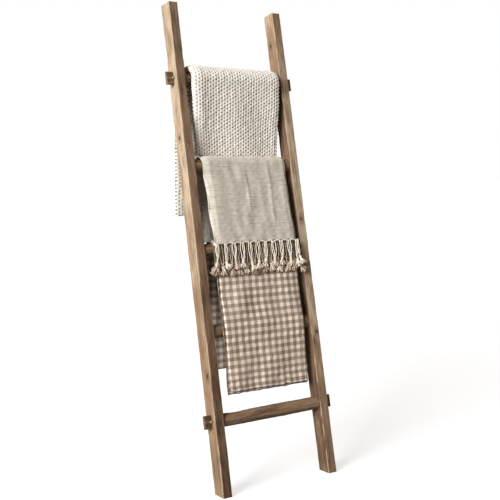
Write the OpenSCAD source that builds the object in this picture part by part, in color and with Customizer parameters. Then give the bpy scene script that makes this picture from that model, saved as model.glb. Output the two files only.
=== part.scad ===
// Leaning blanket ladder with three folded throws.
// The frame stands on the floor (z = 0) and leans back towards +Y until its top rests on a wall.
// X runs along the rungs, Y towards the wall, Z up. The origin is on the floor, under the
// middle of the frame's footprint.

/* [Rails] */
// Length of each rail along the lean
rail_len = 1830; // [1500:10:2100]
// Rail width, seen from the front
rail_w = 38; // [32:1:50]
// Rail depth, front to back
rail_d = 57; // [52:1:70]
// Overall width across both rails
ladder_w = 524; // [480:2:640]
// Angle of the frame from upright, in degrees
lean = 11.5; // [8:0.5:14]
// Depth of the bevel that sits flat on the wall, measured level
wall_bevel = 3; // [2:0.5:4]

/* [Rungs] */
// Diameter of every rung
rung_d = 50; // [44:1:52]
// Top rung, distance up the rail to the rung's axis
top_rung = 1538; // [1480:1:1560]
// Second rung, distance up the rail
second_rung = 1206; // [1180:1:1220]
// Middle rung, distance up the rail
middle_rung = 887; // [870:1:900]
// Fourth rung, distance up the rail
fourth_rung = 586; // [560:1:600]
// Bottom rung, distance up the rail
bottom_rung = 269; // [240:1:300]

/* [Joinery] */
// Thickness of the through tenons on the top and bottom rungs
tenon_t = 13; // [10:1:20]
// Height of the through tenons
tenon_h = 48; // [30:1:48]
// How far a through tenon stands out of its rail
tenon_out = 30; // [20:1:40]
// Diameter of the round stub tenons on the other rungs
stub_d = 30; // [20:1:32]
// Depth of the blind sockets that take them
stub_depth = 24; // [15:1:28]
// Diameter of the locking pegs
peg_d = 8; // [6:0.5:10]
// How far a peg stands out of each side of its tenon
peg_out = 6; // [3:1:12]
// Clear distance from the rail's outer face to a peg
peg_gap = 1; // [0.5:0.5:4]

/* [Knit throw] */
// Thickness of the folded stack of knit
knit_t = 28; // [16:1:30]
// Width of the folded stack
knit_w = 404; // [360:2:404]
// Side clearance between the left rail and the front half
knit_left = 24; // [20:1:40]
// Fall of the front half below the rung's axis
knit_front = 283; // [200:1:284]
// Fall of the back half below the rung's axis
knit_back = 518; // [400:2:560]
// Sideways shift of the back half, which hangs askew behind the rails
knit_back_shift = -28; // [-32:1:10]

/* [Linen throw] */
// Thickness of the folded stack of linen
linen_t = 13; // [8:1:14]
// Width of the folded stack
linen_w = 396; // [360:2:400]
// Side clearance between the left rail and the stack
linen_left = 24; // [20:1:40]
// Length of the front half below the roll, along its slope
linen_front = 310; // [240:1:312]
// Fall of the back half below the rung's axis
linen_back = 290; // [240:2:380]

/* [Linen fringe] */
// Thickness of the hanging fringe
fringe_t = 7; // [4:1:8]
// Length of the fringe below the hem
fringe_len = 116; // [80:1:140]
// Depth of the knotted band at the top of the fringe
fringe_band = 26; // [15:1:40]
// Number of tassels along each fringe
tassel_count = 22; // [12:1:24]
// Width of one tassel
tassel_w = 11; // [8:1:14]

/* [Gingham quilt] */
// Thickness of the folded stack of quilt
quilt_t = 12; // [8:1:14]
// Width of the folded stack
quilt_w = 386; // [340:2:390]
// Side clearance between the left rail and the stack
quilt_left = 28; // [20:1:50]
// Fall of the front half below the fourth rung's axis
quilt_front = 234; // [120:2:260]
// Fall of the back half below its own rung's axis
quilt_back = 458; // [300:2:520]
// Share of the lean that the stiff quilt keeps below the fourth rung, where limp cloth hangs plumb
quilt_stiffness = 0.5; // [0:0.1:1]

/* [Hidden] */
$fn = 64;
wood_fit = 0.05;                       // clearance of a round tenon or a peg in its hole
cloth_gap = 0.5;                       // clearance of cloth from whatever it lies on
arc_steps = 20;
big = 2 * rail_len;
rung_len = ladder_w - 2 * rail_w;      // between the rails' inner faces
rung_r = rung_d / 2;
inner_x = rung_len / 2;
outer_x = ladder_w / 2;
peg_x = outer_x + peg_gap + peg_d / 2;
// Front to back, from the front edge of the feet to the bevel at the wall
depth = rail_len * sin(lean) + rail_d * cos(lean) - wall_bevel;

// Stands the upright frame on the floor, leaning back, with its footprint centred on Y
module lean_back() {
    translate([0, -depth / 2, 0]) rotate([-lean, 0, 0]) children();
}

// Places its children on a rung's axis, a distance s up the rail
module at_rung(s) {
    lean_back() translate([0, rail_d / 2, s]) children();
}

// ---- wooden frame ----

module along_x(length, d) {
    rotate([0, 90, 0]) cylinder(d = d, h = length, center = true);
}

module rail(side) {
    difference() {
        lean_back() translate([side * (outer_x - rail_w / 2) - rail_w / 2, 0, 0])
            cube([rail_w, rail_d, rail_len]);
        // the foot, cut level to stand flat on the floor
        translate([-big / 2, -big / 2, -big]) cube(big);
        // the wall bevel, cut upright
        translate([-big / 2, depth / 2, 0]) cube(big);
        for (s = [top_rung, bottom_rung])
            at_rung(s) cube([big, tenon_t, tenon_h], center = true);
        for (s = [second_rung, middle_rung, fourth_rung])
            at_rung(s) along_x(rung_len + 2 * stub_depth, stub_d);
    }
}

module pinned_rung(s) {
    at_rung(s) {
        along_x(rung_len, rung_d);
        difference() {
            cube([ladder_w + 2 * tenon_out, tenon_t, tenon_h], center = true);
            for (side = [-1, 1])
                translate([side * peg_x, 0, 0]) rotate([90, 0, 0])
                    cylinder(d = peg_d, h = 2 * tenon_t, center = true);
        }
    }
}

module stub_rung(s) {
    at_rung(s) {
        along_x(rung_len, rung_d);
        along_x(rung_len + 2 * (stub_depth - 1), stub_d - 2 * wood_fit);
    }
}

module peg(side, s) {
    at_rung(s) translate([side * peg_x, 0, 0]) rotate([90, 0, 0])
        cylinder(d = peg_d - 2 * wood_fit, h = tenon_t + 2 * peg_out, center = true);
}

// ---- cloth ----
// A hung cloth is a ribbon in the YZ plane: a centre line, given from the bottom of its back half
// over the rung to the bottom of its front half, thickened and drawn out along X.

function rung_axis(s) = [s * sin(lean) + rail_d / 2 * cos(lean) - depth / 2,
                         s * cos(lean) - rail_d / 2 * sin(lean)];
function arc(c, r, from, to) =
    [for (i = [0:arc_steps]) let (a = from + (to - from) * i / arc_steps) c + r * [cos(a), sin(a)]];
// The way down a panel that slopes forward by an angle from plumb
function down(slope) = [-sin(slope), -cos(slope)];
function last(list) = list[len(list) - 1];
function normal_at(path, i) =
    let (d = path[min(i + 1, len(path) - 1)] - path[max(i - 1, 0)]) [-d.y, d.x] / norm(d);
function edge_of(path, offset) = [for (i = [0:len(path) - 1]) path[i] + offset * normal_at(path, i)];
function reversed(list) = [for (i = [len(list) - 1:-1:0]) list[i]];

module ribbon(path, thickness, x, width) {
    outline = concat(edge_of(path, thickness / 2), reversed(edge_of(path, -thickness / 2)));
    translate([x, 0, 0]) rotate([90, 0, 90]) linear_extrude(width) polygon(outline);
}

// Radius of a cloth's centre line where it rolls over its rung
function roll_r(thickness) = rung_r + cloth_gap + thickness / 2;

knit_c = rung_axis(top_rung);
linen_c = rung_axis(second_rung);
quilt_c = rung_axis(middle_rung);
fourth_c = rung_axis(fourth_rung);

// The linen's front half clears the quilt's roll on the rung below
over_quilt_r = rung_r + cloth_gap + quilt_t + cloth_gap + linen_t / 2;
linen_slope = lean + asin((over_quilt_r - roll_r(linen_t)) / (second_rung - middle_rung));

module knit_throw() {
    r = roll_r(knit_t);
    behind_rails = knit_c.y - rung_d;
    x = -inner_x + knit_left;
    color("ivory") {
        ribbon(concat([[knit_c.x + r, behind_rails]], arc(knit_c, r, 0, 180),
                      [knit_c + [-r, -knit_front]]), knit_t, x, knit_w);
        ribbon([[knit_c.x + r, knit_c.y - knit_back], [knit_c.x + r, behind_rails]],
               knit_t, x + knit_back_shift, knit_w);
    }
}

linen_roll = arc(linen_c, roll_r(linen_t), 0, 180 - linen_slope);
linen_hem = last(linen_roll) + linen_front * down(linen_slope);

module linen_throw() {
    back_hem = linen_c + [roll_r(linen_t), -linen_back];
    color("linen")
        ribbon(concat([back_hem], linen_roll, [linen_hem]), linen_t, -inner_x + linen_left, linen_w);
}

// The fringe goes on down the linen's slope and bends over the quilt's roll
module linen_fringe() {
    bend = arc(quilt_c, over_quilt_r, 180 - linen_slope, 180 - lean);
    start = linen_hem;
    straight = norm(bend[0] - start);
    end = last(bend) + (fringe_len - straight) * down(lean);
    x = -inner_x + linen_left;
    pitch = linen_w / tassel_count;
    color("linen") {
        ribbon([start, bend[0], last(bend), last(bend) + fringe_band * down(lean)],
               fringe_t, x, linen_w);
        for (i = [0:tassel_count - 1])
            ribbon([last(bend), end], fringe_t, x + (i + 0.5) * pitch - tassel_w / 2, tassel_w);
    }
}

module gingham_quilt() {
    r = roll_r(quilt_t);
    hang = lean * quilt_stiffness;
    hem = fourth_c + r * [-cos(hang), sin(hang)] - quilt_front * [sin(hang), cos(hang)];
    color("tan")
        ribbon(concat([quilt_c + [r, -quilt_back]], arc(quilt_c, r, 0, 180 - lean),
                      arc(fourth_c, r, 180 - lean, 180 - hang), [hem]),
               quilt_t, -inner_x + quilt_left, quilt_w);
}

module wood() {
    color("burlywood") children();
}

wood() rail(-1);  // rail_left
wood() rail(1);  // rail_right
wood() pinned_rung(top_rung);  // rung_top
wood() stub_rung(second_rung);  // rung_second
wood() stub_rung(middle_rung);  // rung_middle
wood() stub_rung(fourth_rung);  // rung_fourth
wood() pinned_rung(bottom_rung);  // rung_bottom
wood() peg(-1, top_rung);  // peg_top_left
wood() peg(1, top_rung);  // peg_top_right
wood() peg(-1, bottom_rung);  // peg_bottom_left
wood() peg(1, bottom_rung);  // peg_bottom_right
knit_throw();
linen_throw();
linen_fringe();
gingham_quilt();
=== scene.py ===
# Leaning blanket ladder with a knitted throw, a fringed linen throw and a gingham quilt.
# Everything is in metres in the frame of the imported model: X along the rungs, Y to the wall, Z up.
import math

import bpy
import numpy as np
from mathutils import Euler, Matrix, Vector


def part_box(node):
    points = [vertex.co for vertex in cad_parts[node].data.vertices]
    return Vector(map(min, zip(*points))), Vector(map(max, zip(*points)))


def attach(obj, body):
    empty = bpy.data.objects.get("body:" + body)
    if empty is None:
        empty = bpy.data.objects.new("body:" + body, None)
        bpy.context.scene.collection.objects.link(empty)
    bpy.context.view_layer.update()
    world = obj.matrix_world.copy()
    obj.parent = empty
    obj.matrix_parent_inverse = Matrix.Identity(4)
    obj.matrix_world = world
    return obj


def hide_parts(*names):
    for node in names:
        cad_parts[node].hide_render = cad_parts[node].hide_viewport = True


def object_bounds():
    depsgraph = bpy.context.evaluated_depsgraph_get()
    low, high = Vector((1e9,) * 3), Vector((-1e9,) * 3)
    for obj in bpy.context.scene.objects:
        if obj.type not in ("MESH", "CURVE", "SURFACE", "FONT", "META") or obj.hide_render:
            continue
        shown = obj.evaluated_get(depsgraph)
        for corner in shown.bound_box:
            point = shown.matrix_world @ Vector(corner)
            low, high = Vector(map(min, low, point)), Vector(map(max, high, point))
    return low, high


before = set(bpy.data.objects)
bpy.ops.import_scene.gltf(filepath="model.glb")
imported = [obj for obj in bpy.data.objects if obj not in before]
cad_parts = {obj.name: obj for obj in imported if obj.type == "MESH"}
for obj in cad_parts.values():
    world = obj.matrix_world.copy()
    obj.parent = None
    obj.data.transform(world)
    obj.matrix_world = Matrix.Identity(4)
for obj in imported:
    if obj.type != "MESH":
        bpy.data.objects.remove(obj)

MM = 0.001
TURN = 2 * math.pi
CAD_BOX = [list(corner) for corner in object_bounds()]


# ---- the frame's own measures ----

def axis_of(node):
    """(y, z) of the middle of a CAD node."""
    low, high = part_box(node)
    return np.array([(low.y + high.y) / 2, (low.z + high.z) / 2])


RUNGS = ("rung_top", "rung_second", "rung_middle", "rung_fourth", "rung_bottom")
AXIS = {name: axis_of(name) for name in RUNGS}
RAIL_D = 57 * MM
RUNG_R = 25 * MM
TENON_T, TENON_H = 13 * MM, 48 * MM
rail_low, rail_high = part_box("rail_left")
RAIL_W = rail_high.x - rail_low.x
OUTER_X = -rail_low.x
INNER_X = OUTER_X - RAIL_W
TENON_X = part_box("rung_top")[1].x
FOOT_Y = rail_low.y
rise = AXIS["rung_top"] - AXIS["rung_bottom"]
LEAN = math.atan2(rise[0], rise[1])
UP = np.array([math.sin(LEAN), math.cos(LEAN)])
BACK = np.array([math.cos(LEAN), -math.sin(LEAN)])
RAIL_LEN = rail_high.z / math.cos(LEAN)


def stacked(*values):
    """Values broadcast together and stacked as the last axis."""
    return np.stack(np.broadcast_arrays(*values), axis=-1)


def stand(x, d, s):
    """Points of the leaning ladder: x across, d from its front face back, s up the rails."""
    y = FOOT_Y + d * BACK[0] + s * UP[0]
    z = d * BACK[1] + s * UP[1]
    return stacked(x, y, z)


def up_the_rail(name):
    """Distance up the rails of a rung's axis."""
    return float((AXIS[name] - [FOOT_Y, 0]) @ UP)


# ---- smooth seeded noise and mesh building ----

def ripple(points, wavelength, seed):
    """Smooth noise of about -1 to 1 at points (..., k), from waves of about one length."""
    waves = 14
    rng = np.random.default_rng(seed)
    total = np.zeros(points.shape[:-1])
    for _ in range(waves):
        heading = rng.normal(size=points.shape[-1])
        heading *= rng.uniform(0.6, 1.5) / np.linalg.norm(heading)
        turn = TURN * (points / wavelength) @ heading
        total += np.sin(turn + rng.uniform(0, TURN))
    return total / math.sqrt(waves / 2) / 1.6


def ease(low, high, x):
    """0 at low, 1 at high, and an S between them; low may be the larger."""
    t = np.clip((x - low) / (high - low), 0, 1)
    return t * t * (3 - 2 * t)


def linked(name, data):
    """A new object in the scene."""
    piece = bpy.data.objects.new(name, data)
    bpy.context.scene.collection.objects.link(piece)
    return piece


class Parts:
    """Gathers points, faces and point values from several shapes into one mesh."""

    def __init__(self):
        self.points, self.faces, self.values, self.count = [], [], {}, 0

    def add(self, points, faces, **values):
        """One more shape, with named values or vectors for its points."""
        points = np.asarray(points, float).reshape(-1, 3)
        self.points.append(points)
        self.faces += [tuple(int(i) + self.count for i in face) for face in faces]
        for name, value in values.items():
            self.values.setdefault(name, []).append(np.asarray(value, float))
        self.count += len(points)

    def mesh(self, name, material):
        """All the shapes as one object."""
        mesh = bpy.data.meshes.new(name)
        mesh.from_pydata(np.concatenate(self.points).tolist(), [], self.faces)
        for key, pieces in self.values.items():
            value = np.concatenate([p.reshape(len(p), -1) for p in pieces])
            kind, slot = ("FLOAT_VECTOR", "vector") if value.shape[1] == 3 else ("FLOAT", "value")
            mesh.attributes.new(key, kind, "POINT").data.foreach_set(slot, value.ravel())
        mesh.shade_smooth()
        mesh.materials.append(material)
        return linked(name, mesh)


def grid_faces(rows, columns, ring=False):
    """Quads of a grid of rows by columns, closed round into a ring of columns if asked."""
    faces = []
    for r in range(rows - 1):
        for c in range(columns if ring else columns - 1):
            d = (c + 1) % columns
            a, b = r * columns, (r + 1) * columns
            faces.append((a + c, a + d, b + d, b + c))
    return faces


def capped(rings):
    """Faces of a tube of rings (rows, columns, 3), with its two ends closed."""
    rows, columns = rings.shape[:2]
    ends = [tuple(range(columns - 1, -1, -1)), tuple((rows - 1) * columns + c for c in range(columns))]
    return grid_faces(rows, columns, ring=True) + ends


def rounded_rectangle(width, height, radius, per_side):
    """(points, outward normals, corner-ness) round a rectangle centred on 0, counterclockwise."""
    per_corner = 4
    points, normals, corner = [], [], []
    w, h = width / 2 - radius, height / 2 - radius
    centres = [(w, h), (-w, h), (-w, -h), (w, -h)]
    for k, centre in enumerate(centres):
        for i in range(per_corner):
            a = math.pi / 2 * (k + i / (per_corner - 1))
            normals.append((math.cos(a), math.sin(a)))
            points.append(np.array(centre) + radius * np.array(normals[-1]))
            corner.append(1.0)
        end = np.array(centres[(k + 1) % 4]) + radius * np.array(normals[-1])
        start = points[-1]
        for i in range(1, per_side):
            points.append(start + (end - start) * i / per_side)
            normals.append(normals[-1])
            corner.append(0.0)
    return np.array(points), np.array(normals), np.array(corner)


def worn_end(distance, radius):
    """How far a worn end is drawn in at a distance from it, as a quarter round."""
    t = 1 - np.clip(distance / radius, 0, 1)
    return radius * (1 - np.sqrt(1 - t * t))


def shaved(angle, flats):
    """Radius share of a section shaved half way to flats, and the angle from a flat's middle."""
    flat = angle * flats / TURN
    off_centre = (flat - np.round(flat)) * TURN / flats
    return 0.5 + 0.5 * math.cos(math.pi / flats) / np.cos(off_centre), off_centre


# ---- node graphs ----

class Graph:
    """Short ways to add shader nodes to one material."""

    def __init__(self, name):
        self.material = bpy.data.materials.new(name)
        self.material.use_nodes = True
        self.tree = self.material.node_tree
        self.shader = self.tree.nodes["Principled BSDF"]

    def feed(self, socket, value):
        """A link, a colour or a plain value into a socket."""
        if isinstance(value, bpy.types.NodeSocket):
            self.tree.links.new(value, socket)
        elif hasattr(value, "__len__") and len(socket.default_value) == 4 and len(value) == 3:
            socket.default_value = (*value, 1)
        else:
            socket.default_value = value

    def add(self, kind, inputs=(), output=0, **settings):
        """A node with its inputs fed; gives one of its outputs."""
        node = self.tree.nodes.new("ShaderNode" + kind)
        for key, value in settings.items():
            setattr(node, key, value)
        for key, value in dict(inputs).items():
            self.feed(node.inputs[key], value)
        return node.outputs[output]

    def point(self, name):
        """A vector stored at the mesh's points."""
        return self.add("Attribute", attribute_name=name, output="Vector")

    def value(self, name):
        """A number stored at the mesh's points."""
        return self.add("Attribute", attribute_name=name, output="Fac")

    def split(self, vector):
        """The three parts of a vector."""
        node = self.tree.nodes.new("ShaderNodeSeparateXYZ")
        self.feed(node.inputs[0], vector)
        return node.outputs

    def math(self, operation, a, b=0.0):
        return self.add("Math", {0: a, 1: b}, operation=operation)

    def plus(self, a, b):
        return self.math("ADD", a, b)

    def times(self, a, b):
        return self.math("MULTIPLY", a, b)

    def vector_math(self, operation, a, b):
        return self.add("VectorMath", {0: a, 1: b}, operation=operation)

    def noise(self, vector, scale, detail=3.0, roughness=0.5):
        """Noise with the vector scaled first."""
        scaled = self.add("Mapping", {"Vector": vector, "Scale": scale})
        inputs = {"Vector": scaled, "Scale": 1.0, "Detail": detail, "Roughness": roughness}
        return self.add("TexNoise", inputs, output="Fac")

    def spread(self, value, low, high, to_low=0.0, to_high=1.0):
        """The range low to high eased on to another one."""
        inputs = {"Value": value, "From Min": low, "From Max": high, "To Min": to_low, "To Max": to_high}
        return self.add("MapRange", inputs, interpolation_type="SMOOTHSTEP")

    def mix(self, factor, a, b):
        """Colour a where the factor is 0 and b where it is 1."""
        return self.add("Mix", {0: factor, 6: a, 7: b}, output=2, data_type="RGBA")

    def bump(self, height, distance, strength):
        return self.add("Bump", {"Height": height, "Distance": distance, "Strength": strength})

    def surface(self, values):
        """The material, with these inputs of its surface fed."""
        for name, value in values.items():
            self.feed(self.shader.inputs[name], value)
        return self.material

    def finish(self, colour, roughness, normal, specular, sheen=0.0):
        return self.surface({"Base Color": colour, "Roughness": roughness, "Normal": normal,
                             "Sheen Weight": sheen, "Sheen Roughness": 0.5,
                             "Specular IOR Level": specular})


# Linear colours of the wood and its stains, of the cloths, and of their yarns, painted shade and wear
RED_STAIN, GREY_DARK, GREY_PALE = (0.17, 0.085, 0.042), (0.11, 0.08, 0.057), (0.36, 0.31, 0.25)
CRACK, KNOT_RIM, KNOT_HEART = (0.04, 0.026, 0.016), (0.09, 0.05, 0.026), (0.022, 0.013, 0.008)
KNIT_COOL, KNIT_WARM, KNIT_FUZZ = (0.80, 0.785, 0.73), (0.83, 0.80, 0.735), (0.54, 0.50, 0.43)
# painted shade of the knit: in the creases between plies, the grooves between columns, and the holes
KNIT_PLY_SHADE, KNIT_GROOVE_SHADE, KNIT_HOLE_SHADE = (0.48, 0.44, 0.38), (0.36, 0.32, 0.27), (0.105, 0.075, 0.05)
LINEN_DARK, LINEN_PALE, LINEN_ALONG = (0.395, 0.365, 0.31), (0.585, 0.553, 0.492), (0.605, 0.573, 0.512)
LINEN_SLUB, LINEN_STREAK = (0.30, 0.262, 0.205), (0.345, 0.305, 0.24)
# the second of these is painted shade for the linen's inner layers near the hem
LINEN_DRIFT, LINEN_INSIDE_SHADE = (0.53, 0.485, 0.415), (0.15, 0.105, 0.07)
# the tan is partly the yarn's own colour and partly painted shade; the dark brown is painted shade
YARN_CREAM, YARN_TAN_AND_SHADE = (0.84, 0.79, 0.70), (0.44, 0.31, 0.205)
YARN_PAINTED_SHADE, YARN_TWIST = (0.055, 0.035, 0.022), (0.42, 0.345, 0.245)
CHECK_PALE, CHECK_MIDDLE, CHECK_DARK = (0.74, 0.665, 0.585), (0.38, 0.30, 0.232), (0.175, 0.125, 0.085)
# the last of these is painted shade for the quilt's edges and one fold
CHECK_FADED, CHECK_THREAD, PAINTED_EDGE_SHADE = (0.58, 0.51, 0.43), (0.30, 0.25, 0.21), (0.085, 0.065, 0.048)
DARK_WOOD, MID_WOOD, PALE_WOOD = (0.062, 0.033, 0.017), (0.215, 0.138, 0.083), (0.46, 0.365, 0.255)
DARK_PEG, MID_PEG = (0.16, 0.10, 0.055), (0.30, 0.21, 0.13)

# Knots in the wood, as (x, depth behind the front face, distance up the rail) and radius
KNOTS = (
    ((0.242, 0.004, 0.985), 0.0085), ((0.250, 0.002, 0.540), 0.0070), ((0.233, 0.003, 0.505), 0.0060),
    ((-0.262, 0.030, 1.310), 0.0070), ((-0.262, 0.020, 0.430), 0.0080), ((0.224, 0.035, 1.700), 0.0060),
)


def with_knots(g, grain, colour):
    """Knots longer up the rail than across it, with a dark heart and a fainter rim."""
    for place, radius in KNOTS:
        away = g.vector_math("SUBTRACT", grain, place)
        away = g.vector_math("MULTIPLY", away, (1, 1, 0.62))
        ring = g.add("VectorMath", {0: away}, operation="LENGTH", output="Value")
        colour = g.mix(g.spread(ring, radius, radius * 3, 0.45, 0), colour, KNOT_RIM)
        colour = g.mix(g.spread(ring, radius * 0.45, radius, 0.85, 0), colour, KNOT_HEART)
    return colour


def wood_material(name, dark, mid, light):
    """Weathered wood: fibres along the piece, greyer patches, cracks and knots, pale worn edges."""
    g = Graph(name)
    grain = g.point("grain")
    drift = g.noise(grain, (12, 12, 2.5), detail=2)
    offset = g.add("CombineXYZ", {0: g.times(drift, 0.02), 1: g.times(drift, 0.012)})
    sway = g.vector_math("ADD", grain, offset)
    band = g.noise(sway, (120, 120, 4), roughness=0.6)
    fibre = g.noise(sway, (520, 520, 16), detail=4, roughness=0.7)
    patch = g.noise(grain, (24, 24, 9), detail=4, roughness=0.6)
    # the stored value carries painted light and shade on the rails' faces and the right tenons, besides
    # each piece's own colour
    tone = g.value("tone")
    for value, low, size in ((band, 0.3, 0.11), (fibre, 0.3, 0.14), (patch, 0.32, 0.13)):
        tone = g.plus(tone, g.spread(value, low, 1 - low, -size, size))
    colour = g.mix(g.spread(tone, 0.0, 0.5), dark, mid)
    colour = g.mix(g.spread(tone, 0.5, 1.0), colour, light)
    red = g.spread(g.noise(grain, (30, 30, 7)), 0.5, 0.72, 0, 0.35)
    colour = g.mix(red, colour, RED_STAIN)
    grey = g.spread(g.noise(sway, (44, 44, 6), detail=4), 0.52, 0.7, 0, 0.4)
    colour = g.mix(grey, colour, g.mix(g.spread(tone, 0.2, 0.9), GREY_DARK, GREY_PALE))
    scuff = g.spread(g.noise(grain, (60, 60, 16)), 0.38, 0.62, 0, 0.5)
    colour = g.mix(g.times(g.value("wear"), scuff), colour, light)
    crack = g.spread(g.noise(sway, (300, 300, 5), detail=1), 0.68, 0.74)
    colour = g.mix(g.times(crack, 0.55), colour, CRACK)
    colour = with_knots(g, grain, colour)
    height = g.plus(g.times(fibre, 0.8), g.times(band, 0.5))
    height = g.math("SUBTRACT", height, g.times(crack, 0.5))
    rough = g.spread(fibre, 0.3, 0.7, 0.62, 0.82)
    return g.finish(colour, rough, g.bump(height, 0.6 * MM, 0.9), specular=0.3)


# Width and height of a stitch, and the plies of its yarn
STITCH_W, STITCH_H, STITCH_PLIES = 12.8 * MM, 13.8 * MM, 4


def knit_material(name):
    """Chunky cotton yarn in slanted strands that cross: plies along each strand, holes between. The holes,
    the grooves between columns and the creases between plies are darkened with painted shade.
    """
    g = Graph(name)
    cloth = g.point("cloth")
    u, v, _ = g.split(cloth)
    wobble = g.spread(g.noise(cloth, (90, 90, 1), detail=2), 0.3, 0.7, -0.09, 0.09)
    rows = g.plus(g.math("DIVIDE", v, STITCH_H), wobble)
    columns = g.math("DIVIDE", u, 2 * STITCH_W)
    ways = [g.math("SUBTRACT", rows, columns), g.plus(rows, columns)]
    gaps = [g.math("PINGPONG", way, 0.5) for way in ways]
    squares = [g.math("POWER", gap, 2.0) for gap in gaps]
    hole = g.spread(g.plus(*squares), 0.006, 0.052, 1, 0)
    groove = g.spread(g.math("PINGPONG", g.math("DIVIDE", u, STITCH_W), 0.5), 0.0, 0.3, 1, 0)
    rising_on_top = g.math("GREATER_THAN", gaps[0], gaps[1])
    lines = [g.math("COSINE", g.times(way, TURN * STITCH_PLIES)) for way in ways]
    plies = g.mix(rising_on_top, lines[1], lines[0])
    fuzz = g.noise(cloth, (620, 620, 1))
    soft = g.noise(cloth, (22, 22, 1), detail=2)
    colour = g.mix(g.spread(soft, 0.35, 0.65), KNIT_COOL, KNIT_WARM)
    # painted shade in the creases between plies
    colour = g.mix(g.spread(plies, -1, 1, 0.14, 0), colour, KNIT_PLY_SHADE)
    colour = g.mix(g.spread(fuzz, 0.3, 0.7, 0.0, 0.12), colour, KNIT_FUZZ)
    # painted shade along the grooves between columns
    colour = g.mix(g.times(groove, 0.30), colour, KNIT_GROOVE_SHADE)
    # painted shade in the holes
    colour = g.mix(g.times(hole, 0.88), colour, KNIT_HOLE_SHADE)
    height = g.math("SUBTRACT", g.times(plies, 0.25), hole)
    height = g.plus(height, g.times(fuzz, 0.4))
    return g.finish(colour, 0.9, g.bump(height, 1.0 * MM, 0.8), sheen=0.2, specular=0.15)


def linen_material(name):
    """Loose gauze: uneven threads both ways, thick slubs across, faint colour drift, and painted shade on
    the inner layers near the hem.
    """
    g = Graph(name)
    cloth = g.point("cloth")
    across = g.noise(cloth, (26, 520, 1), roughness=0.6)
    along = g.noise(cloth, (620, 18, 1), roughness=0.6)
    slub = g.spread(g.noise(cloth, (12, 190, 1), detail=2), 0.55, 0.68)
    streak = g.noise(cloth, (9, 105, 1), detail=2, roughness=0.6)
    drift = g.noise(cloth, (7, 7, 1), detail=2)
    colour = g.mix(g.spread(across, 0.3, 0.7), LINEN_DARK, LINEN_PALE)
    colour = g.mix(g.spread(along, 0.32, 0.68, 0, 0.4), colour, LINEN_ALONG)
    colour = g.mix(g.times(slub, 0.6), colour, LINEN_SLUB)
    colour = g.mix(g.spread(streak, 0.36, 0.64, 0.32, 0), colour, LINEN_STREAK)
    colour = g.mix(g.spread(drift, 0.35, 0.65, 0, 0.2), colour, LINEN_DRIFT)
    # painted shade: the inner layers are darker near the hem, for the shade in the openings between the
    # hem's nodes
    colour = g.mix(g.times(g.value("inside"), 0.5), colour, LINEN_INSIDE_SHADE)
    height = g.plus(across, g.plus(along, g.times(slub, 0.8)))
    return g.finish(colour, 0.88, g.bump(height, 0.45 * MM, 0.8), sheen=0.3, specular=0.2)


def yarn_material(name):
    """Twisted fringe yarn: cream at a value of 0, tan at 1 and dark brown from 2. The tan is partly the
    yarn's own colour and partly painted shade; the dark brown is painted shade.
    """
    g = Graph(name)
    cloth = g.point("cloth")
    twist = g.noise(cloth, (1, 260, 1), detail=2)
    speck = g.noise(cloth, (300, 90, 1), detail=2)
    tint = g.plus(g.value("tint"), g.spread(speck, 0.3, 0.7, -0.12, 0.12))
    colour = g.mix(g.spread(tint, -0.2, 1.2), YARN_CREAM, YARN_TAN_AND_SHADE)
    colour = g.mix(g.spread(tint, 1.0, 1.8), colour, YARN_PAINTED_SHADE)
    colour = g.mix(g.spread(twist, 0.3, 0.7, 0.3, 0), colour, YARN_TWIST)
    return g.finish(colour, 0.9, g.bump(twist, 0.4 * MM, 0.6), sheen=0.25, specular=0.15)


# Width and height of one repeat of the check, and how far it is shifted across and along the cloth
CHECK_U, CHECK_V = 30.8 * MM, 27.8 * MM
SHIFT_U, SHIFT_V = -9.5 * MM, -2.4 * MM


def gingham_material(name):
    """Two-colour woven check. A square is dark where both threads are, and half dark where one is."""
    g = Graph(name)
    cloth = g.point("cloth")
    wobble = g.noise(cloth, (70, 70, 1), detail=2)
    u, v, _ = g.split(cloth)
    thread = g.noise(cloth, (900, 900, 1), detail=1)

    def stripe(coordinate, repeat, shift):
        shifted = g.plus(coordinate, g.spread(wobble, 0.3, 0.7, shift - 0.5 * MM, shift + 0.5 * MM))
        saw = g.math("PINGPONG", shifted, repeat / 2)
        return g.spread(saw, repeat / 4 - 0.9 * MM, repeat / 4 + 0.9 * MM)

    warp, weft = stripe(u, CHECK_U, SHIFT_U), stripe(v, CHECK_V, SHIFT_V)
    both = g.times(warp, weft)
    one = g.math("MAXIMUM", warp, weft)
    colour = g.mix(one, CHECK_PALE, CHECK_MIDDLE)
    colour = g.mix(both, colour, CHECK_DARK)
    fade = g.noise(cloth, (11, 11, 1))
    colour = g.mix(g.spread(fade, 0.4, 0.66, 0, 0.15), colour, CHECK_FADED)
    colour = g.mix(g.spread(thread, 0.35, 0.65, 0, 0.16), colour, CHECK_THREAD)
    crinkle = g.noise(cloth, (110, 130, 1))
    height = g.plus(crinkle, g.times(thread, 0.3))
    # painted shade: a dark band along the cloth's edges and over one fold, standing in for the shade of the
    # under layers
    colour = g.mix(g.spread(g.value("binding"), 0.2, 0.6), colour, PAINTED_EDGE_SHADE)
    return g.finish(colour, 0.85, g.bump(height, 1.2 * MM, 0.6), sheen=0.2, specular=0.25)


WOOD = wood_material("weathered_wood", DARK_WOOD, MID_WOOD, PALE_WOOD)
PEG_WOOD = wood_material("peg_wood", DARK_PEG, MID_PEG, PALE_WOOD)
KNIT = knit_material("knit")
LINEN = linen_material("linen")
YARN = yarn_material("linen_yarn")
GINGHAM = gingham_material("gingham")


# ---- wooden pieces ----

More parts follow.
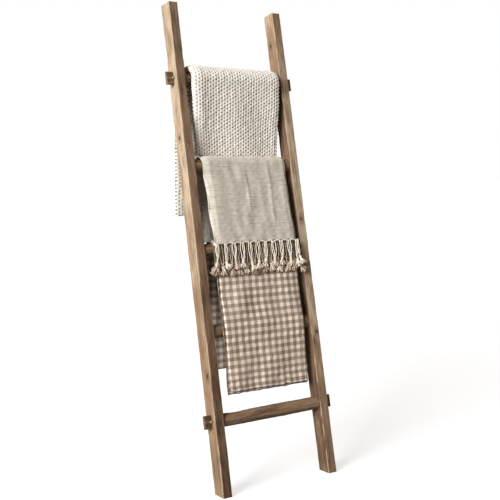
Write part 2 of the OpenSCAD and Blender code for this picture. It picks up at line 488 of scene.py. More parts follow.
# How light each face of a rail is painted at these shares of its height: left, front, right and back faces.
# Partly weathered colour and partly painted light and shade: the left faces lighter as if lit from the
# left, the fronts darker, and the right rail's inner face darker where the throws cast their shadows
TONE_STOPS = (0, 0.28, 0.55, 0.80, 1)
RAIL_PAINTED_SHADING = {-1: ((0.40, 0.44, 0.74, 0.86, 0.74), (0.06, 0.20, 0.46, 0.38, 0.36),
                   (0.40, 0.42, 0.50, 0.52, 0.55), (0.45, 0.48, 0.52, 0.56, 0.60)),
              1: ((0.14, 0.05, 0.24, 0.14, 0.76), (0.30, 0.66, 0.86, 0.74, 0.38),
                  (0.50, 0.55, 0.62, 0.68, 0.70), (0.45, 0.48, 0.52, 0.56, 0.60))}


def place(piece, node, body, slot):
    """A finished piece stands for a CAD node and rides on its body."""
    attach(piece, body)
    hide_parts(node)
    return piece


def add_wood(parts, points, grain, tone, wear):
    """A closed piece of wood from rings (rows, columns, 3), with its values at each point."""
    tone, wear = (np.broadcast_to(value, points.shape[:2]).ravel() for value in (tone, wear))
    parts.add(points, capped(points), grain=grain.reshape(-1, 3), tone=tone, wear=wear)


def rail(side):
    """A square-sawn rail with worn arrises, its foot cut level and its top drawn in at the wall."""
    section, normal, corner = rounded_rectangle(RAIL_W, RAIL_D, 1.8 * MM, per_side=12)
    near_end = np.array([0, 0.0004, 0.0010, 0.0018])
    along = np.concatenate([near_end, np.linspace(0.003, 0.997, 300), 1 - near_end[::-1]])[:, None]
    x0 = side * (OUTER_X - RAIL_W / 2)
    d0 = section[None, :, 1] + RAIL_D / 2
    foot = d0 * math.tan(LEAN)
    s = foot + along * (RAIL_LEN - foot)
    inset = worn_end(np.minimum(s - foot, RAIL_LEN - s), 2.2 * MM)
    probe = stacked(section[:, 0] + side, section[:, 1], s * 0.35)
    hewn = 0.35 * MM * ripple(probe, 45 * MM, 3) + 0.2 * MM * ripple(probe, 14 * MM, 4)
    chipped = -1.1 * MM * corner * ease(0.35, 0.95, ripple(probe, 26 * MM, 5))
    push = hewn + chipped - inset
    x = x0 + section[:, 0] + normal[:, 0] * push
    d = d0 + normal[:, 1] * push
    points = stand(x, d, s)
    points[..., 2] = np.maximum(points[..., 2], 0)
    points[..., 1] = np.minimum(points[..., 1], CAD_BOX[1][1])
    faces = np.stack([-normal[:, 0], -normal[:, 1], normal[:, 0], normal[:, 1]])
    # painted light and shade: each face gets its own lightness along the rail, lighter on the left faces,
    # darker on the fronts and where the throws' shadows fall
    tone = 0
    for share, face_shading in zip(np.clip(faces, 0, 1) ** 2, RAIL_PAINTED_SHADING[side]):
        tone = tone + share * np.interp(s / RAIL_LEN, TONE_STOPS, face_shading)
    tone = tone + 0.25 * ease(3 * MM, 0, RAIL_LEN - s)
    parts = Parts()
    add_wood(parts, points, stacked(x, d, s), tone, corner)
    name = "rail_left" if side < 0 else "rail_right"
    return place(parts.mesh(name + "_wood", WOOD), name, "ladder", "weathered_wood")


RUNG_TONE = {"rung_top": 0.22, "rung_second": 0.40, "rung_middle": 0.28, "rung_fourth": 0.34,
             "rung_bottom": 0.33}
TENON_TONE = {"rung_top": 0.18, "rung_bottom": 0.03}


def rung(name, seed):
    """A rung shaved round from a branch: slightly bowed, with long flats; tenons if it has them."""
    rows, around, flats = 120, 54, 9
    s0 = up_the_rail(name)
    reach = INNER_X + 1.5 * MM
    x = np.linspace(-reach, reach, rows)[:, None]
    angle = np.linspace(0, TURN, around, endpoint=False)[None, :]
    turn = 0.25 * ripple(stacked(x[:, 0], seed), 0.5, seed)[:, None]
    share, off_centre = shaved(angle + turn, flats)
    ring = stacked(x, 0.1 * np.cos(angle), 0.1 * np.sin(angle))
    swell = 0.7 * MM * ripple(ring, 0.11, seed + 1) + 0.35 * MM * ripple(ring, 0.03, seed + 2)
    # a hollow in the top of the rung, left of its middle
    dip = 3.5 * MM * np.exp(-((x + 0.14) / 0.06) ** 2) * np.clip(np.sin(angle), 0, 1)
    radius = RUNG_R * share + swell - dip
    bow = 1.5 * MM * np.cos(math.pi * x / (2 * reach))
    d = RAIL_D / 2 + radius * np.cos(angle) + bow * math.cos(seed)
    s = s0 + radius * np.sin(angle) + bow * math.sin(seed)
    wear = 0.5 * ease(0.26, 0.34, np.abs(off_centre))
    parts = Parts()
    grain = stacked(d - RAIL_D / 2 + seed, s - s0, x)
    add_wood(parts, stand(x, d, s), grain, RUNG_TONE[name], wear)
    if name in TENON_TONE:
        add_tenons(parts, s0, seed, TENON_TONE[name])
    return place(parts.mesh(name + "_wood", WOOD), name, "ladder", "weathered_wood")


def add_tenons(parts, s0, seed, side_tone):
    """The flat tenons that come through both rails: dark, their ends worn round and painted paler, and the
    right rail's tenons painted lighter as fill light in that rail's shade.
    """
    section, normal, corner = rounded_rectangle(TENON_T, TENON_H, 1.2 * MM, per_side=6)
    end_round = 1.8 * MM
    reach = np.concatenate([np.linspace(INNER_X - 6 * MM, TENON_X - end_round, 30),
                            TENON_X - end_round * np.array([0.6, 0.3, 0.1, 0])])
    for side in (-1, 1):
        x = np.sort(side * reach)[:, None]
        from_end = TENON_X - np.abs(x)
        probe = stacked(x, section[:, 0], section[:, 1])
        push = 0.4 * MM * ripple(probe, 20 * MM, seed + 7) - worn_end(from_end, end_round) - 0.2 * MM
        d = RAIL_D / 2 + section[:, 0] + normal[:, 0] * push
        s = s0 + section[:, 1] + normal[:, 1] * push
        # painted light: the right rail's tenons are lighter, standing in for light in that rail's shade;
        # the last mm at each end is paler
        tone = side_tone + 0.2 * (side + 1) + 0.2 * ease(1.2 * MM, 0, from_end)
        add_wood(parts, stand(x, d, s), stacked(d + seed, s - s0, x), tone, 0.3 * corner)


def peg(rung_name, node):
    """A whittled peg: eight flats, driven from the front, its ends chamfered."""
    low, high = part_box(node)
    x0 = (low.x + high.x) / 2
    r0 = (high.x - low.x) / 2
    s0 = up_the_rail(rung_name)
    reach = TENON_T / 2 + 6 * MM
    # places along the peg and its width there
    t = np.array([-1, -0.97, -0.9, -0.5, 0, 0.5, 0.9, 0.97, 1])[:, None]
    taper = np.array([0.55, 0.8, 1.0, 1.0, 0.99, 0.97, 0.95, 0.75, 0.5])[:, None]
    angle = np.linspace(0, TURN, 24, endpoint=False)[None, :]
    radius = r0 * taper * shaved(angle, 8)[0]
    x = x0 + radius * np.cos(angle)
    s = s0 + radius * np.sin(angle)
    d = RAIL_D / 2 + reach * t
    parts = Parts()
    add_wood(parts, stand(x, d, s), stacked(x, s - s0, d), tone=0.5, wear=0.3)
    return place(parts.mesh(node + "_wood", PEG_WOOD), node, "ladder", "peg_wood")


# ---- folded cloth ----

def resample(points, step):
    """Evenly spaced points along a polyline, and the distance along it of each."""
    points = np.asarray(points, float)
    along = np.concatenate([[0], np.cumsum(np.linalg.norm(np.diff(points, axis=0), axis=1))])
    at = np.linspace(0, along[-1], int(round(along[-1] / step)) + 1)
    return np.stack([np.interp(at, along, points[:, k]) for k in range(points.shape[1])], -1), at


def arc(centre, radius, start, end, count=40):
    """Points round an arc, angles in radians from +Y towards +Z."""
    a = np.linspace(start, end, count)[:, None]
    return centre + radius * np.concatenate([np.cos(a), np.sin(a)], axis=1)


class Hang:
    """How a folded strip hangs, row by row: from its front hem up, over its rung and down behind. A
    doubled strip then comes back the same way inside itself. A row has the middle of the fold, its
    side of it, the ways out and up, its distance from the hem, and whether it is on the way back."""

    def __init__(self, line, step, doubled=0.0):
        base, at = resample(line, step)
        way = np.gradient(base, axis=0)
        kernel = np.ones(5) / 5
        way = np.stack([np.convolve(np.pad(way[:, k], 2, mode="edge"), kernel, "valid") for k in (0, 1)], 1)
        way /= np.linalg.norm(way, axis=1)[:, None]
        out = np.stack([-way[:, 1], way[:, 0]], axis=1)
        self.half = doubled / 2
        self.centre, self.side, self.out, self.way, self.at = base - out * self.half, out, out, way, at
        self.back = np.zeros(len(at))
        if doubled:
            turn = np.linspace(0, math.pi, 14)[1:-1, None]
            end = [len(at) - 1] * len(turn)

            def there_and_back(rows, between=None):
                return np.concatenate([rows, rows[end] if between is None else between, rows[::-1]])

            round_it = out[end] * np.cos(turn) + way[end] * np.sin(turn)
            self.side = np.concatenate([out, round_it, -out[::-1]])
            self.centre, self.out, self.way = map(there_and_back, (self.centre, out, way))
            self.at, self.back = there_and_back(at), np.repeat([0, 0.5, 1], [len(at), len(turn), len(at)])
        face = self.centre + self.side * self.half
        run = np.linalg.norm(np.diff(face, axis=0), axis=1)
        self.cut = np.concatenate([[0], np.cumsum(run)])
        self.length = at[-1]


def zigzag(turns, pitch, steps):
    """Columns of a strip folded back and forth: place across, depth in the stack, flat distance, layer."""
    across, depth, flat, layer, run = [], [], [], [], 0.0
    r = pitch / 2
    bend = np.linspace(0, math.pi, 9)[1:-1]
    for k in range(len(turns) - 1):
        a, b = turns[k], turns[k + 1]
        way = 1 if b > a else -1
        start = a + (way * r if k else 0)
        end = b - (way * r if k < len(turns) - 2 else 0)
        count = max(3, int(round(abs(end - start) / steps[k])))
        xs = np.linspace(start, end, count + 1)
        across += list(xs)
        depth += [k * pitch] * len(xs)
        flat += list(run + np.abs(xs - start))
        layer += [k] * len(xs)
        run += abs(end - start)
        if k < len(turns) - 2:
            for phi in bend:
                across.append(end + way * r * math.sin(phi))
                depth.append(k * pitch + r * (1 - math.cos(phi)))
                flat.append(run + r * phi)
                layer.append(k + 0.5)
            run += math.pi * r
    return tuple(np.array(x) for x in (across, depth, flat, layer))


def outward(points):
    """Unit vectors out of the stack at each point of a grid."""
    n = np.cross(np.gradient(points, axis=0), np.gradient(points, axis=1))
    return n / np.maximum(np.linalg.norm(n, axis=2), 1e-12)[..., None]


def sheet_mesh(name, material, points, thickness, **values):
    """A grid of points given a thickness on its inner side, closed round its edges."""
    rows, columns = points.shape[:2]
    inner = points - outward(points) * thickness
    count = rows * columns
    top = grid_faces(rows, columns)
    bottom = [tuple(i + count for i in face[::-1]) for face in top]
    edge = (list(range(columns)) + [r * columns + columns - 1 for r in range(1, rows)]
            + [(rows - 1) * columns + c for c in range(columns - 2, -1, -1)]
            + [r * columns for r in range(rows - 2, 0, -1)])
    rim = [(a, a + count, b + count, b) for a, b in zip(edge, edge[1:] + edge[:1])]
    parts = Parts()
    doubled = {k: np.concatenate([v.reshape(count, -1)] * 2) for k, v in values.items()}
    parts.add(np.concatenate([points.reshape(-1, 3), inner.reshape(-1, 3)]), top + bottom + rim, **doubled)
    return parts.mesh(name, material)


class Throw:
    """A folded throw: rows down its hang, columns across its zigzag."""

    def __init__(self, hang, turns, pitch, steps):
        self.hang = hang
        self.across, self.depth, self.flat, self.layer = zigzag(turns, pitch, steps)
        self.start, self.width = min(turns[:2]), abs(turns[1] - turns[0])

    def points(self, left, right, shove):
        """The grid, with left(at) and right(at) the outer layer's edges along the hang, and shove(q,
        at, layer, back) giving each point's shift across, out of the stack and up the strip."""
        h = self.hang
        at = h.at[:, None]
        q = ((self.across - self.start) / self.width)[None, :]
        full = np.broadcast_arrays(q, at, self.layer[None, :], h.back[:, None])
        across, out, up = np.broadcast_arrays(*shove(*full), full[0])[:3]
        x = left(at) + q * (right(at) - left(at)) + across
        yz = h.centre[:, None, :] + h.side[:, None, :] * (h.half - self.depth[None, :, None])
        yz = yz + h.out[:, None, :] * out[..., None] + h.way[:, None, :] * up[..., None]
        return np.concatenate([x[..., None], yz], axis=-1)

    def cloth(self):
        """Flat coordinates of every grid point."""
        return stacked(self.flat, self.hang.cut[:, None], 0.0)


def crown(q, width, edge, depth):
    """How far the face of a thick folded stack falls away towards its two side folds."""
    t = np.clip(1 - np.minimum(np.abs(q), np.abs(1 - q)) * width / edge, 0, 1)
    return -depth * (1 - np.sqrt(1 - 0.98 * t * t))


def along_hang(*stops):
    """A smooth x of the distance from the hem, through stops of that distance and the mm from the
    left rail's outer face."""
    at = [distance for distance, _ in stops]
    edge = [-OUTER_X + mm * MM for _, mm in stops]
    fine = np.linspace(at[0], at[-1], 200)
    kernel = np.hanning(31)
    raw = np.pad(np.interp(fine, at, edge), 15, mode="edge")
    soft = np.convolve(raw, kernel / kernel.sum(), "valid")
    return lambda x: np.interp(x, fine, soft)


def hanging_line(axis, radius, slope, front, back_fall):
    """Front points given from the hem up, then over the rung, then plumb down behind it."""
    over = arc(axis, radius, math.pi - slope, 0)
    return np.concatenate([front, over, [axis + [radius, -back_fall]]])


def outer_radius(node, rung_name):
    """Radius of a throw's outer face over its rung."""
    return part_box(node)[1].z - AXIS[rung_name][1]


def knit_relief(u, v):
    """Height from 0 to 1 of two sets of slanted strands that cross and leave a hole between."""
    rise_way, fall_way = v / STITCH_H - u / STITCH_W / 2, v / STITCH_H + u / STITCH_W / 2
    rising = 0.5 - 0.5 * np.cos(TURN * rise_way)
    falling = 0.5 - 0.5 * np.cos(TURN * fall_way)
    over = 0.5 + 0.5 * np.sin(math.pi * (rise_way + fall_way)) * np.sin(math.pi * (rise_way - fall_way))
    strands = np.maximum(rising * (0.8 + 0.2 * over), falling * (1.0 - 0.2 * over))
    groove = 0.5 + 0.5 * np.cos(TURN * u / STITCH_W)
    return np.clip(strands ** 0.75 + 0.18 * rising * falling - 0.22 * groove, 0, 1.1)


def knit_throw():
    """Chunky knit folded in three across, over the top rung."""
    node, axis = "knit_throw", AXIS["rung_top"]
    top, width, fine, pitch, yarn_t, relief_h = 0.289, 0.408, 2.5 * MM, 8.6 * MM, 4 * MM, 3.2 * MM
    radius = outer_radius(node, "rung_top") - 2.2 * MM
    line = hanging_line(axis, radius, 0, [axis + [-radius, -top]], axis[1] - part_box(node)[0].z)
    throw = Throw(Hang(line, fine), [width, 0, width - 6 * MM, 4 * MM], pitch, [fine, 14 * MM, 7 * MM])
    end = throw.hang.length
    left = along_hang((0, 76), (top * 0.5, 64), (top, 60), (top + 0.17, 60), (top + 0.27, 30), (end, 32))
    right = along_hang((0, 452), (top * 0.5, 459), (top, 464), (top + 0.16, 464), (top + 0.26, 440),
                       (end, 446))

    def shove(q, at, layer, back):
        loose = ease(0.0, 0.12, np.abs(at - top - 0.07) - 0.05)
        out = 1.6 * MM * np.cos(TURN * (q * 1.7 + 0.1)) * loose
        out = out + 2.0 * MM * ripple(stacked(q * 0.4, at), 0.22, 11) * loose - 1 * MM * loose
        behind = ease(top + 0.12, top + 0.22, at)
        rounding = 8 * (1 - layer / 3) * (1 - behind) + (2.5 - 4.6 * layer) * behind
        out = out + crown(q, width, 36 * MM, MM) * rounding
        out = out + 1.4 * MM * np.exp(-((q - 0.08) / 0.045) ** 2) * ease(0.02, 0.1, at) * (1 - behind)
        across = 2.0 * MM * ripple(stacked(at, layer), 0.16, 12) - 1.5 * MM * layer * loose
        selvedge = ease(0.985, 1.0, q) * (layer < 0.5)
        across = across + 1.8 * MM * selvedge * np.sin(TURN * at / STITCH_H)
        return across, out, 0 * q

    base = throw.points(left, right, shove)
    cloth = throw.cloth()
    relief = knit_relief(cloth[..., 0], cloth[..., 1])
    uneven = 0.85 + 0.2 * ripple(cloth[..., :2], 40 * MM, 13)
    points = base + outward(base) * (relief_h * relief * uneven)[..., None]
    piece = sheet_mesh(node + "_cloth", KNIT, points, yarn_t, cloth=cloth)
    place(piece, node, "knit", "knit")


class LinenHang:
    """The linen's way down: over the second rung and forward over the quilt on the middle rung."""
    front_fall = 0.310

    def __init__(self):
        self.axis, self.below = AXIS["rung_second"], AXIS["rung_middle"]
        self.quilt_r = outer_radius("gingham_quilt", "rung_middle")
        radius = outer_radius("linen_throw", "rung_second")
        over_quilt = self.quilt_r + 13.5 * MM
        self.slope = LEAN + math.asin((over_quilt - radius) / np.linalg.norm(self.axis - self.below))
        self.radius = radius - 0.6 * MM
        self.down = np.array([-math.sin(self.slope), -math.cos(self.slope)])
        face = np.array([-math.cos(self.slope), math.sin(self.slope)])
        self.hem = self.axis + self.radius * face + self.front_fall * self.down
        self.hem_lift = float((self.hem - self.below) @ face) - self.quilt_r
        self.to_quilt = float((self.below - self.hem) @ self.down)

    def drop(self, t, lift):
        """(y, z) at distance t below the hem and lift off the quilt's face."""
        t, lift = np.broadcast_arrays(t, lift)
        face = np.array([-math.cos(LEAN), math.sin(LEAN)])
        fall = (t - self.to_quilt)[..., None]
        down = np.where(fall > 0, -UP, self.down)
        return self.below + (self.quilt_r + lift)[..., None] * face + fall * down


# The hem gathers into nodes, with an arch of cloth between each two
ARCH, ARCH_RISE, FIRST_NODE = 36.8 * MM, 9.5 * MM, 4 * MM
linen_way = LinenHang()
linen_left = along_hang((0, 78), (0.08, 74), (0.2, 73), (0.31, 69), (0.45, 66), (0.55, 84), (0.75, 92))
linen_right = along_hang((0, 457), (0.2, 454), (0.31, 454), (0.45, 452), (0.55, 470), (0.75, 468))


def arch(x, phase=0.0):
    """How far the hem rises above its nodes, at x."""
    from_node = (x - linen_left(0.0) - FIRST_NODE) / ARCH + phase
    return ARCH_RISE * np.abs(np.sin(math.pi * from_node)) ** 0.5


def linen_turn(q, width):
    """How far the side edges of the linen turn back at q across, from 0 to 1."""
    from_left, from_right = q * width / (25 * MM), (1 - q) * width / (14 * MM)
    return np.clip(1 - np.minimum(from_left, from_right), 0, 1) ** 1.1


# Soft folds down the front: place across, drift to the left, width, height in mm, lower and upper end
LINEN_FOLDS = ((0.13, 0.00, 0.050, 1.2, 0.00, 0.34), (0.29, 0.02, 0.045, 1.1, 0.04, 0.28),
               (0.47, 0.01, 0.017, 1.9, 0.14, 0.31), (0.49, -0.12, 0.045, 1.6, 0.00, 0.17),
               (0.62, 0.03, 0.035, 1.0, 0.05, 0.31), (0.76, -0.02, 0.020, 1.9, 0.08, 0.33),
               (0.80, 0.08, 0.040, 1.3, 0.00, 0.14), (0.92, -0.01, 0.030, 1.6, 0.00, 0.26))


def linen_folds(q, at):
    """How far the linen's face stands out at its soft folds, and how far it is set back between."""
    out = -1.5 * MM
    for place_q, drift, wide, high, lower, upper in LINEN_FOLDS:
        fade = ease(lower - 0.05, lower + 0.04, at) * ease(upper + 0.03, upper - 0.08, at)
        centre = place_q + drift * (0.3 - at) / 0.3
        out = out + high * MM * fade * np.exp(-((q - centre) / wide) ** 2)
    return out


def linen_throw(fringe):
    """Linen gauze folded in three across and doubled, both fringed ends in front."""
    node, way = "linen_throw", linen_way
    width, fine, half, pitch, cloth_t = 0.394, 4 * MM, 5.25 * MM, 2.1 * MM, 0.9 * MM
    back_fall = way.axis[1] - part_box(node)[0].z - 6 * MM
    line = hanging_line(way.axis, way.radius, way.slope, [way.hem], back_fall)
    throw = Throw(Hang(line, fine, doubled=2 * half), [width, 0, width - 6 * MM, 3 * MM], pitch,
                  [fine, 12 * MM, 12 * MM])

    def shove(q, at, layer, back):
        in_stack = half + (half - pitch * layer) * (1 - 2 * back)
        on_rung = ease(0.25, 0.3, at) * ease(0.47, 0.42, at)
        # the side edges turn back round the layers inside
        set_back = 4.5 * MM * ease(0.02, 0.12, at) * (1 - on_rung)
        turned = linen_turn(q, width) * (0.66 * in_stack + set_back)
        behind = ease(0.45, 0.6, at)
        out = linen_folds(q, at) + 3 * MM * np.cos(TURN * (q * 3.2 + 0.3 + at)) * behind
        crinkle = ripple(stacked(q * 0.4, at * 0.4), 0.06, 21)
        out = out + 0.9 * MM * crinkle + 0.3 * MM * ripple(stacked(q * 0.2, at), 0.018, 23)
        across = 1.6 * MM * ripple(stacked(at, layer), 0.13, 22)
        outer = (layer < 0.5) & (back < 0.5)
        x = linen_left(at) + q * width
        near_hem = ease(0.055, 0.0, at)
        up = near_hem * np.where(outer, arch(x), MM + 0.15 * arch(x, 0.5))
        # the layers next to the rung lie smooth on it
        held = on_rung * (1 - in_stack / (2 * half))
        return across, out * (1 - held) + 0.8 * MM * held - turned, up

    points = throw.points(linen_left, linen_right, shove)
    # painted shade: the hidden layers are darkened near the hem, for the shade in the openings between its
    # nodes
    hidden = (throw.layer[None, :] > 0.5) | (throw.hang.back[:, None] > 0.5)
    inside = hidden * ease(0.05, 0.02, throw.hang.at)[:, None]
    piece = sheet_mesh(node + "_cloth", LINEN, points, cloth_t, cloth=throw.cloth(), inside=inside)
    place(piece, node, "linen", "linen")


# ---- fringe ----

def tubes(parts, paths, radii, sides, tints_and_shades):
    """Many tubes at once, along paths (n, rings, 3) with one radius or more and n colour values, which
    carry painted shade too.
    """
    count, rings = paths.shape[:2]
    radii = np.broadcast_to(radii, (count, rings))
    way = np.gradient(paths, axis=1)
    way /= np.linalg.norm(way, axis=2)[..., None]
    first = np.cross(way, [0.0, 1.0, 0.0])
    first /= np.linalg.norm(first, axis=2)[..., None]
    second = np.cross(way, first)
    a = np.linspace(0, TURN, sides, endpoint=False)
    around = first[:, :, None] * np.cos(a)[:, None] + second[:, :, None] * np.sin(a)[:, None]
    points = paths[:, :, None] + around * radii[:, :, None, None]
    run = np.cumsum(np.linalg.norm(np.diff(paths, axis=1, prepend=paths[:, :1]), axis=2), axis=1)
    seeds = np.arange(count)[:, None, None] * 0.37
    cloth = stacked(a * 0.01 + seeds, run[..., None], seeds)
    for k in range(count):
        tint = np.full(rings * sides, tints_and_shades[k])
        parts.add(points[k], capped(points[k]), cloth=cloth[k].reshape(-1, 3), tint=tint)


# Plies of a cord, and how far each is from its middle
PLIES, PLY_OFF = 2, 0.75 * MM


def twisted(path, pitch, phase):
    """Paths of the plies of one cord twisted round a path (rings, 3) that runs mostly down."""
    run = np.cumsum(np.linalg.norm(np.diff(path, axis=0, prepend=path[:1]), axis=1))
    turns = TURN * (run / pitch) + phase + TURN * np.arange(PLIES)[:, None] / PLIES
    offset = stacked(np.cos(turns), np.sin(turns), 0.0) * PLY_OFF
    return path[None] + offset


class Row:
    """A row of knotted fringe: how far below the hem it starts and knots, its tassels' length, how
    far off the quilt it hangs, where its nodes fall between those of the outer row, the places of a
    node's cords beside it, their plies' radius, and how dark its yarn is painted, as painted shade."""

    def __init__(self, start, knot, tassel, lift_hem, lift_knot, phase, lanes, ply_r, shade):
        self.start, self.knot, self.tassel = start * MM, knot * MM, tassel * MM
        self.lift_hem, self.lift_knot, self.phase = lift_hem * MM, lift_knot * MM, phase
        self.lanes, self.ply_r, self.shade = np.array(lanes) * MM, ply_r * MM, shade


# The row nearest the quilt is painted dark brown, standing in for the shade between the front cords; the
# middle row is painted tan as part shade; the outer row is cream
FRINGE_ROWS = (Row(2, 74, 24, 3.4, 3.0, 0.25, (-13, -6.5, 0, 6.5, 13), 1.5, 1.0),
               Row(3, 80, 26, 6.6, 5.0, 0.5, (-5.5, 4.5), 0.85, 0.4),
               Row(0, 64, 25, 12.4, 10.0, 0.0, (-8.5, -1.5, 6.5), 0.85, 0.0))


def fringe_point(x, t, lift):
    """World points of the fringe from x, distance below the hem and lift off the quilt."""
    x, t, lift = np.broadcast_arrays(x, t, lift)
    return np.concatenate([x[..., None], linen_way.drop(t, lift)], axis=-1)


def linen_fringe():
    """Three rows of cords: a few leave the hem at each node, hang side by side, gather in a knot and
    end in a loose tassel."""
    rng = np.random.default_rng(7)
    parts = Parts()
    left, right = float(linen_left(0.0)), float(linen_right(0.0))
    for row in FRINGE_ROWS:
        nodes = left + FIRST_NODE + ARCH * (np.arange(12) - row.phase)
        nodes = [x for x in nodes if left + 5 * MM < x < right - 5 * MM]
        bundles = [(x, x + rng.normal(-1 * MM, 3.5 * MM), 1.0) for x in nodes]
        bundles += [(left + 3 * MM, left - 7 * MM, 0.5), (right - 3 * MM, right + 6 * MM, 0.5)]
        for top_x, knot_x, room in bundles:
            knot_t = row.knot + rng.normal(0, 5 * MM)
            lift = row.lift_knot + rng.uniform(-0.4, 1.0) * MM
            for beside in row.lanes:
                lane = 0.7 * top_x + 0.3 * knot_x + room * beside
                add_cord(parts, rng, row, top_x, lane, knot_x, knot_t, lift)
            outer = max(left - knot_x, knot_x - right, 0) * np.sign(knot_x)
            add_tassel(parts, rng, row, knot_x, knot_t, lift, 1.2 * outer)
    add_rolled_hem(parts, left, right)
    return place(parts.mesh("linen_fringe_yarn", YARN), "linen_fringe", "linen", "linen_yarn")


def add_cord(parts, rng, row, top_x, lane, knot_x, knot_t, lift):
    """A cord of two twisted plies from a node of the hem, down its lane and in to a knot."""
    t = np.linspace(0, 1, 26)
    lane = lane + rng.normal(0, 1.4 * MM)
    x = top_x + (lane - top_x) * (0.75 + 0.25 * ease(0, 0.3, t))
    x = x + (knot_x + 0.3 * (lane - knot_x) - x) * ease(0.4, 1.05, t)
    for sway, bends in ((0.9 * MM, 2), (0.5 * MM, 4)):
        x = x + rng.normal(0, sway) * np.sin(bends * math.pi * t)
    start = row.start - 3 * MM - (0.9 * arch(x[0]) if row.phase == 0 else 0)
    down = start + (knot_t - start) * t
    off = row.lift_hem + (lift - row.lift_hem) * t + rng.uniform(-0.5, 1.8) * MM * np.sin(math.pi * t)
    plies = twisted(fringe_point(x, down, off), rng.uniform(8, 11) * MM, rng.uniform(0, 6))
    # painted shade: a cord's colour follows its row's shade, dark brown in the row nearest the quilt
    tint = row.shade * 1.9 + rng.uniform(-0.15, 0.15)
    tubes(parts, plies, row.ply_r, 6, [tint] * PLIES)


# Radius of each ring of a knot and its distance below the first, in mm
KNOT_RINGS = ((4.6, 0.0), (5.4, 2.8), (4.8, 5.4))
# Number of a tassel's fibres, their radius in mm, their spread, and the shortest of them as a share
FIBRES = ((17, 2.2, 0.46, 0.7), (12, 0.9, 0.54, 0.86))


def add_tassel(parts, rng, row, x, t, lift, flare):
    """A knot of wound yarn, and below it thick ends in a fan with finer fibres among them."""
    # partly painted shade from the row, partly the yarn's own varied colour
    tint = row.shade + rng.uniform(0.0, 0.7)
    tilt_over = rng.normal(0, 0.22)
    a = np.linspace(0, TURN, 24)
    for size, lower in KNOT_RINGS:
        tilt = rng.uniform(-0.35, 0.35)
        ring_x = x + size * MM * np.cos(a) * 0.85
        ring_t = t + lower * MM + size * MM * np.cos(a) * tilt
        ring_lift = np.maximum(lift + size * MM * 0.62 * np.sin(a), 1.7 * MM)
        tubes(parts, fringe_point(ring_x, ring_t, ring_lift)[None], 1.6 * MM, 6, [tint])
    for count, thick, spread, shortest in FIBRES:
        p = np.linspace(0, 1, 9)[None, :]
        fan = 1.3 * spread * np.linspace(-1, 1, count)[:, None]
        aside = tilt_over + fan + rng.normal(0, 0.12, (count, 1))
        length = row.tassel * rng.uniform(shortest, 1.12, (count, 1))
        curl = rng.normal(0, 1.3 * MM, (count, 1)) * np.sin(math.pi * p * rng.uniform(0.8, 2.0, (count, 1)))
        fibre_x = x + (np.sin(aside) * length + flare) * p ** 1.2 + curl
        fibre_t = t + 5 * MM + length * np.cos(aside) * p
        fibre_lift = lift + rng.normal(0, 1.2 * MM, (count, 1)) + rng.normal(0.8, 2.6, (count, 1)) * MM * p
        paths = fringe_point(fibre_x, fibre_t, np.maximum(fibre_lift, (thick + 0.3) * MM))
        radii = thick * MM * (1 - 0.35 * p ** 2)
        tubes(parts, paths, radii, 5, tint + rng.normal(0, 0.12, count))


def add_rolled_hem(parts, left, right):
    """The rolled edge of the outer layer, rising in an arch between the nodes."""
    x = np.linspace(left - 0.5 * MM, right + 0.5 * MM, 420)
    turned = linen_turn((x - left) / (right - left), right - left)
    path = fringe_point(x, -arch(x), linen_way.hem_lift - (0.6 + 6.5 * turned) * MM)
    along = np.gradient(path, axis=0)
    tilt = np.cumsum(np.linalg.norm(along, axis=1)) * TURN / (7 * MM)
    for turn in (0, math.pi):
        ply = path + 0.6 * MM * stacked(0.0, np.cos(tilt + turn), np.sin(tilt + turn))
        tubes(parts, ply[None], 1.1 * MM, 6, [0.0])


# ---- quilt ----

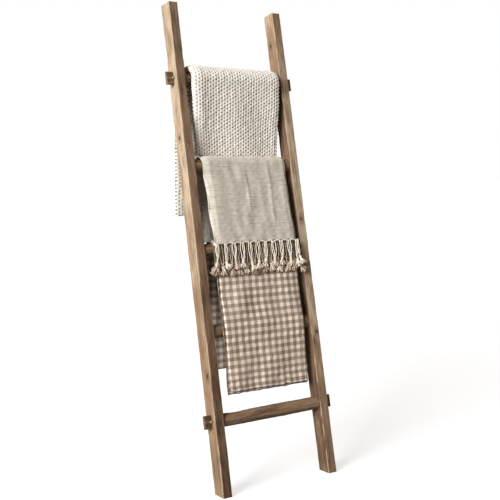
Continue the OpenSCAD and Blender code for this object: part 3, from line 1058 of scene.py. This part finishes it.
def gingham_quilt():
    """A thin gingham quilt folded in four across, over the middle rung and down past the fourth."""
    node, axis, below = "gingham_quilt", AXIS["rung_middle"], AXIS["rung_fourth"]
    back_fall, width, fine, pitch, cloth_t = 0.458, 0.376, 4.5 * MM, 2.9 * MM, 1.8 * MM
    radius = outer_radius(node, "rung_middle") - 0.8 * MM
    hang = LEAN / 2
    bend = arc(below, radius, math.pi - hang, math.pi - LEAN, 10)
    fall = (bend[0][1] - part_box(node)[0].z - 3 * MM) / math.cos(hang)
    front = np.concatenate([[bend[0] - fall * np.array([math.sin(hang), math.cos(hang)])], bend])
    line = hanging_line(axis, radius, LEAN, front, back_fall)
    throw = Throw(Hang(line, fine), [width, 0, width - 4 * MM, -11 * MM, width - 8 * MM], pitch,
                  [fine, 12 * MM, 12 * MM, 12 * MM])
    end = throw.hang.length
    left = along_hang((0, 98), (0.22, 88), (0.42, 86), (0.56, 84), (0.7, 82), (end, 84))
    right = along_hang((0, 455), (0.22, 452), (0.42, 450), (0.56, 452), (0.7, 452), (end, 454))

    def shove(q, at, layer, back):
        loose = ease(0.0, 0.1, np.abs(at - 0.6) - 0.05)
        out = 1.8 * MM * ripple(stacked(q * 0.4, at * 0.8), 0.13, 31) * loose
        out = out + 1.5 * MM * np.cos(TURN * (q * 1.6 + 0.15)) * loose * ease(0.25, 0.0, at)
        out = out + 0.5 * MM * ripple(stacked(q * 0.4, at), 0.035, 33) - 0.6 * MM
        out = out + crown(q, width, 21 * MM, 6.2 * MM) * (1 - 0.26 * layer)
        across = 1.3 * MM * ripple(stacked(at, layer * 0.3), 0.15, 32)
        across = across - 4 * MM * ease(0.25, 0.0, at) * ease(1.2, 1.8, layer) * (1 - q)
        near_hem = ease(0.09, 0.0, at)
        wave = 1.6 * MM * ripple(stacked(q * 0.38, layer), 0.05, 34)
        up = near_hem * (wave + np.where(layer < 1.2, (6 + 4 * (1 - q)) * MM, 1 * MM))
        return across, out, up

    points = throw.points(left, right, shove)
    cloth = throw.cloth()
    u, v = cloth[..., 0], cloth[..., 1]
    # painted shade: a dark band a few mm in from every edge, and the whole fold between the third and
    # fourth layers, standing in for the shade of the layers beneath
    from_edge = np.minimum(np.minimum(v, v.max() - v), np.minimum(u, u.max() - u))
    binding = ease(4.5 * MM, 2.5 * MM, from_edge)
    binding = np.maximum(binding, (throw.layer > 2) & (throw.layer < 3))
    piece = sheet_mesh(node + "_cloth", GINGHAM, points, cloth_t, cloth=cloth, binding=binding)
    place(piece, node, "quilt", "gingham")


rail(-1)
rail(1)
for number, rung_name in enumerate(RUNGS):
    rung(rung_name, 40 + 10 * number)
for level in ("top", "bottom"):
    for end in ("left", "right"):
        peg("rung_" + level, f"peg_{level}_{end}")
knit_throw()
linen_throw(linen_fringe())
gingham_quilt()


# ---- stage ----

def floor(paleness, glow):
    """A plain pale floor, as bright as the room behind it where the camera sees it."""
    half = 60
    corners = [(-half, -half, 0), (half, -half, 0), (half, half, 0), (-half, half, 0)]
    mesh = bpy.data.meshes.new("floor")
    mesh.from_pydata(corners, [], [(0, 1, 2, 3)])
    g = Graph("floor")
    cloudy = g.noise(g.add("TexCoord", output="Object"), (0.6, 0.6, 0.6))
    colour = g.mix(cloudy, (paleness,) * 3, (paleness * 1.03,) * 3)
    seen = g.add("LightPath", output="Is Camera Ray")
    mesh.materials.append(g.surface({"Base Color": colour, "Emission Color": (1, 1, 1),
                                     "Emission Strength": g.times(seen, glow), "Roughness": 0.9}))
    linked("floor", mesh)


def sunlight(azimuth, elevation, strength, spread, colour):
    """A soft light from far away; azimuth is measured from the left of the ladder to its front."""
    lamp = bpy.data.lights.new("key", "SUN")
    lamp.energy, lamp.angle, lamp.color = strength, math.radians(spread), colour
    a, e = math.radians(azimuth), math.radians(elevation)
    towards = Vector((-math.cos(a) * math.cos(e), -math.sin(a) * math.cos(e), math.sin(e)))
    linked("key", lamp).rotation_euler = towards.to_track_quat("Z", "Y").to_euler()


def surroundings(seen, given):
    """A room that is white where the camera sees it, and a dim warm fill as a light."""
    world = bpy.data.worlds.new("studio")
    bpy.context.scene.world = world
    world.use_nodes = True
    tree = world.node_tree
    mix = tree.nodes.new("ShaderNodeMix")
    mix.data_type = "RGBA"
    mix.inputs[6].default_value = (*given, 1)
    mix.inputs[7].default_value = (*seen, 1)
    tree.links.new(tree.nodes.new("ShaderNodeLightPath").outputs["Is Camera Ray"], mix.inputs[0])
    tree.links.new(mix.outputs[2], tree.nodes["Background"].inputs["Color"])


def camera():
    """The photo's view, as fitted to the rails' edges, the rungs and the tenons."""
    eye = bpy.data.cameras.new("camera")
    eye.sensor_width, eye.lens, eye.shift_y = 36, 69.88, -0.0837
    body = linked("camera", eye)
    body.location = (-2.162, -3.000, 1.175)
    body.rotation_euler = Euler((math.radians(87.5), 0, math.radians(-35.805)))
    bpy.context.scene.camera = body


floor(paleness=0.38, glow=0.72)
surroundings(seen=(1, 1, 1), given=(0.205, 0.150, 0.105))
sunlight(azimuth=18, elevation=21, strength=6.2, spread=28, colour=(1.0, 0.995, 0.99))
camera()
bpy.context.scene.view_settings.view_transform = "Standard"
